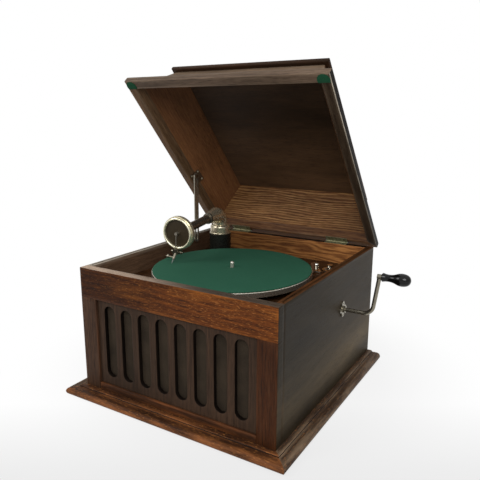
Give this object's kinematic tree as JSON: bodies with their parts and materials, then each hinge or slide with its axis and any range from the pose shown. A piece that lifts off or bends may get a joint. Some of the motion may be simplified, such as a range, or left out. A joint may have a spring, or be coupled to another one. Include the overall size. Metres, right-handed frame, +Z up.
{
  "type": "table gramophone",
  "caption": "Wind-up table gramophone in an oak case with a slotted front grille, hinged coved lid held by a stay, felt turntable, swinging tone arm with round sound box, and side crank.",
  "frame": {"origin": "on the table under the middle of the case, on the underside of the bottom board", "axes": "+Z up, -Y to the grille at the front, +X to the crank on the right"},
  "size_m": [0.5483, 0.505, 0.6036],
  "materials": {
    "oak": "fumed oak under worn shellac",
    "cloth": "woven grille cloth",
    "felt": "green felt",
    "black_enamel": "black japanned metal",
    "ebonised_wood": "black polished wood",
    "nickel": "worn nickel plate",
    "steel": "bare steel",
    "brass": "bare brass",
    "iron": "black cast iron",
    "rubber": "black rubber",
    "leather": "brown leather",
    "diaphragm": "dark pressed diaphragm"
  },
  "bodies": {
    "case": {"base_moulding": "oak", "bottom_board": "oak", "left_side": "oak", "right_side": "oak", "back_panel": "oak", "front_top_rail": "oak", "front_bottom_rail": "oak", "front_stiles": "oak", "grille_panel": "oak", "grille_cloth": "cloth", "motor_board": "oak", "motor_board_cleats": "oak", "horn": "oak", "horn_throat": "iron", "tone_arm_pedestal": "black_enamel", "motor_plates": "steel", "motor_pillars": "steel", "motor_bolts": "nickel", "motor_bushes": "rubber", "motor_bearings": "brass", "crank_escutcheon": "nickel", "hinge_case_leaves": "nickel", "hinge_pins": "steel", "stay_stud": "nickel", "brake_plate": "nickel", "speed_dial": "nickel"},
    "lid": {"lid_rim": "oak", "lid_boards": "oak", "lid_top_panel": "oak", "lid_pads": "felt", "hinge_lid_leaves": "nickel", "stay_bracket": "nickel"},
    "stay": {"lid_stay": "nickel"},
    "platter": {"turntable": "nickel", "turntable_felt": "felt", "turntable_spindle": "nickel"},
    "middle_wheel": {"middle_arbor": "brass"},
    "barrel": {"spring_barrel": "steel", "barrel_cover": "brass", "mainspring": "steel"},
    "governor": {"governor_shaft": "steel", "governor_weights": "brass"},
    "crank": {"crank_rod": "nickel"},
    "winder": {"winding_arbor": "steel"},
    "handle": {"crank_handle": "ebonised_wood"},
    "tone_arm": {"tone_arm_elbow": "nickel"},
    "sound_box": {"tone_arm_tube": "nickel", "sound_box_shell": "nickel", "sound_box_ring": "nickel", "sound_box_diaphragm": "diaphragm", "stylus_bar": "nickel", "needle_holder": "nickel", "needle": "steel"},
    "brake": {"brake_lever": "nickel", "brake_pad": "leather"},
    "speed": {"speed_regulator": "nickel"}
  },
  "joints": [
    {"name": "lid_hinge", "type": "hinge", "parent": "case", "child": "lid", "pos_m": [0, 0.2165, 0.2458], "axis": [-1, 0, 0], "range_deg": [-48.3, 0]},
    {"name": "stay_pivot", "type": "hinge", "parent": "lid", "child": "stay", "pos_m": [-0.176, 0.11073, 0.37925], "axis": [-1, 0, 0], "range_deg": [-28, 1]},
    {"name": "platter_spin", "type": "hinge", "parent": "case", "child": "platter", "pos_m": [0, -0.019, 0.207], "axis": [0, 0, 1], "continuous": true},
    {"name": "middle_spin", "type": "hinge", "parent": "case", "child": "middle_wheel", "pos_m": [-0.04646, -0.0091, 0.137], "axis": [0, 0, 1], "continuous": true},
    {"name": "barrel_spin", "type": "hinge", "parent": "case", "child": "barrel", "pos_m": [-0.04, 0.043, 0.127], "axis": [0, 0, 1], "continuous": true},
    {"name": "governor_spin", "type": "hinge", "parent": "case", "child": "governor", "pos_m": [0.05, -0.0424, 0.135], "axis": [1, 0, 0], "continuous": true},
    {"name": "crank_spin", "type": "hinge", "parent": "case", "child": "crank", "pos_m": [0.2, 0.043, 0.163], "axis": [1, 0, 0], "continuous": true},
    {"name": "winder_spin", "type": "hinge", "parent": "case", "child": "winder", "pos_m": [-0.04, 0.043, 0.147], "axis": [0, 0, 1], "continuous": true},
    {"name": "handle_spin", "type": "hinge", "parent": "crank", "child": "handle", "pos_m": [0.29, 0.043, 0.235], "axis": [1, 0, 0], "continuous": true},
    {"name": "tone_arm_swing", "type": "hinge", "parent": "case", "child": "tone_arm", "pos_m": [-0.132, 0.14, 0.257], "axis": [0, 0, 1], "range_deg": [-5, 20]},
    {"name": "sound_box_swivel", "type": "hinge", "parent": "tone_arm", "child": "sound_box", "pos_m": [-0.12908, 0.11692, 0.29596], "axis": [0.1251, -0.9905, -0.0576], "range_deg": [0, 95]},
    {"name": "brake_swing", "type": "hinge", "parent": "case", "child": "brake", "pos_m": [0.11205, 0.12187, 0.212], "axis": [0, 0, -1], "range_deg": [0, 45]},
    {"name": "speed_turn", "type": "hinge", "parent": "case", "child": "speed", "pos_m": [0.13405, 0.14187, 0.207], "axis": [0, 0, 1], "range_deg": [0, 12]}
  ],
  "couplings": [
    {"joint": "stay_pivot", "follows": "lid_hinge", "ratio": 0.56},
    {"joint": "middle_spin", "follows": "platter_spin", "ratio": -0.1875},
    {"joint": "barrel_spin", "follows": "platter_spin", "ratio": 0.03125},
    {"joint": "governor_spin", "follows": "platter_spin", "ratio": 10},
    {"joint": "winder_spin", "follows": "crank_spin", "ratio": 0.5}
  ]
}
